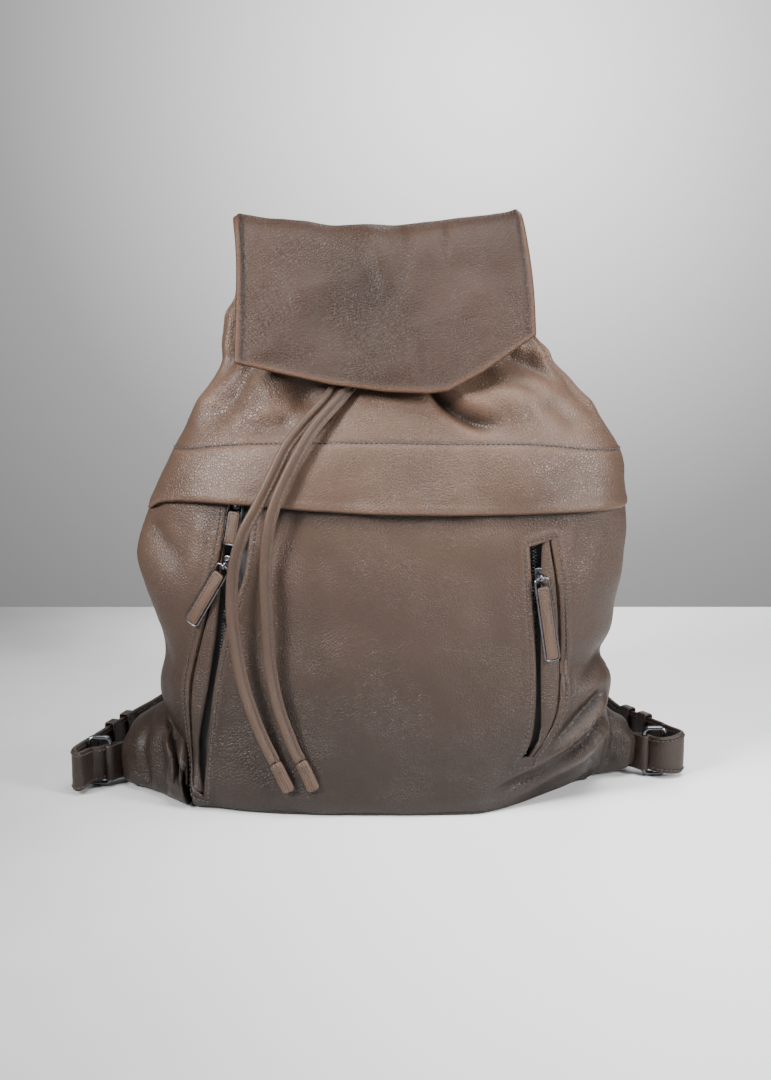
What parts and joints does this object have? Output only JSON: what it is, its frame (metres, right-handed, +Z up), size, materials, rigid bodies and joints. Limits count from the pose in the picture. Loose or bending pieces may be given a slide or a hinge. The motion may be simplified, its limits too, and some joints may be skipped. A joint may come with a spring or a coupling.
{
  "type": "leather backpack",
  "caption": "Soft leather drawstring backpack with a fold-over flap, two zipped front pockets and adjustable shoulder straps, standing on its base.",
  "frame": {"origin": "on the floor under the middle of the base", "axes": "+Z up, -Y out of the front panel and pockets, +Y towards the wearer's back, +X to the viewer's right"},
  "size_m": [0.4052, 0.1793, 0.3718],
  "materials": {
    "leather": "pebbled full-grain leather, soft satin sheen",
    "leather_back": "flesh side and turned facings, matt",
    "lace": "folded and stitched lace leather, satin",
    "lining": "woven cotton lining, matt",
    "zip_tape": "herringbone zip tape, matt",
    "gunmetal": "dark polished gunmetal plating",
    "board": "stiffener board, matt"
  },
  "bodies": {
    "root": {"front_panel": "leather", "back_panel": "leather", "right_pocket_facing": "leather", "right_zip_welt": "leather", "right_zip_chain": "gunmetal", "right_zip_tape": "zip_tape", "right_pocket_bag": "lining", "left_pocket_facing": "leather", "left_zip_welt": "leather", "left_zip_chain": "gunmetal", "left_zip_tape": "zip_tape", "left_pocket_bag": "lining", "front_yoke": "leather", "yoke_hem": "leather_back", "back_yoke": "leather", "neck_facing": "leather_back", "base_panel": "leather", "base_board": "board", "lining": "lining", "drawstring_loop": "lace", "drawstring_left": "lace", "drawstring_left_tip": "lace", "eyelet_left": "gunmetal", "drawstring_right": "lace", "drawstring_right_tip": "lace", "eyelet_right": "gunmetal", "flap_seam_strip": "leather", "snap_plate": "gunmetal", "left_corner_wing": "leather", "left_anchor_tab": "leather", "left_strap_loop": "leather", "left_strap_top": "leather", "right_corner_wing": "leather", "right_anchor_tab": "leather", "right_strap_loop": "leather", "right_strap_top": "leather", "strap_patch": "leather"},
    "flap": {"flap": "leather", "flap_lining": "leather_back", "snap_stud": "gunmetal"},
    "haul_loop": {"haul_loop": "leather"},
    "right_slider": {"right_slider": "gunmetal"},
    "right_puller": {"right_puller_frame": "gunmetal", "right_puller_leather": "leather"},
    "left_upper_slider": {"left_upper_slider": "gunmetal"},
    "left_upper_puller": {"left_upper_puller_frame": "gunmetal", "left_upper_puller_leather": "leather"},
    "left_lower_slider": {"left_lower_slider": "gunmetal"},
    "left_lower_puller": {"left_lower_puller_frame": "gunmetal", "left_lower_puller_leather": "leather"},
    "left_ring": {"left_ring": "gunmetal"},
    "right_ring": {"right_ring": "gunmetal"},
    "left_strap": {"left_lower_strap": "leather", "left_shoulder_pad": "leather", "left_inner_keeper": "leather"},
    "right_strap": {"right_lower_strap": "leather", "right_shoulder_pad": "leather", "right_inner_keeper": "leather"},
    "left_outer_keeper": {"left_outer_keeper": "leather"},
    "right_outer_keeper": {"right_outer_keeper": "leather"}
  },
  "joints": [
    {"name": "flap_open", "type": "hinge", "parent": "root", "child": "flap", "pos_m": [0, 0.014, 0.349], "axis": [-1, 0, 0], "range_deg": [0, 165], "deforming": ["flap_seam_strip"]},
    {"name": "haul_loop_lift", "type": "hinge", "parent": "root", "child": "haul_loop", "pos_m": [0, 0.028, 0.304], "axis": [1, 0, 0], "range_deg": [0, 80]},
    {"name": "right_zip_slide", "type": "slide", "parent": "root", "child": "right_slider", "axis": [0, -0.0431, -0.9991], "range_m": [0, 0.1]},
    {"name": "right_puller_lift", "type": "hinge", "parent": "right_slider", "child": "right_puller", "pos_m": [0.09616, -0.06305, 0.15133], "axis": [-0.9439, -0.296, -0.1467], "range_deg": [0, 150]},
    {"name": "left_upper_zip_slide", "type": "slide", "parent": "root", "child": "left_upper_slider", "axis": [-0.1384, -0.1136, -0.9838], "range_m": [0, 0.003]},
    {"name": "left_upper_puller_lift", "type": "hinge", "parent": "left_upper_slider", "child": "left_upper_puller", "pos_m": [-0.09189, -0.05637, 0.19767], "axis": [-0.9577, 0.259, 0.1252], "range_deg": [0, 20]},
    {"name": "left_lower_zip_slide", "type": "slide", "parent": "root", "child": "left_lower_slider", "axis": [-0.1393, 0.0212, -0.99], "range_m": [0, 0.12]},
    {"name": "left_lower_puller_lift", "type": "hinge", "parent": "left_lower_slider", "child": "left_lower_puller", "pos_m": [-0.09951, -0.06313, 0.15909], "axis": [-0.7753, 0.346, 0.5284], "range_deg": [0, 110]},
    {"name": "left_strap_swing", "type": "hinge", "parent": "root", "child": "left_strap", "pos_m": [-0.03, 0.036, 0.313], "axis": [0.471, 0.1295, 0.8726], "range_deg": [0, 50], "deforming": ["left_strap_top", "left_strap_loop"]},
    {"name": "left_ring_turn", "type": "hinge", "parent": "root", "child": "left_ring", "pos_m": [-0.1815, -0.014, 0.0175], "axis": [0, 0, 1], "range_deg": [-12, 8]},
    {"name": "left_keeper_slide", "type": "slide", "parent": "left_strap", "child": "left_outer_keeper", "axis": [0.3213, 0.947, 0], "range_m": [-0.01, 0.009]},
    {"name": "right_strap_swing", "type": "hinge", "parent": "root", "child": "right_strap", "pos_m": [0.03, 0.036, 0.313], "axis": [0.4597, -0.0776, -0.8847], "range_deg": [0, 50], "deforming": ["right_strap_top", "right_strap_loop"]},
    {"name": "right_ring_turn", "type": "hinge", "parent": "root", "child": "right_ring", "pos_m": [0.1735, 0.006, 0.0175], "axis": [0, 0, 1], "range_deg": [-8, 12]},
    {"name": "right_keeper_slide", "type": "slide", "parent": "right_strap", "child": "right_outer_keeper", "axis": [-0.5263, 0.8503, 0], "range_m": [-0.008, 0.006]}
  ]
}
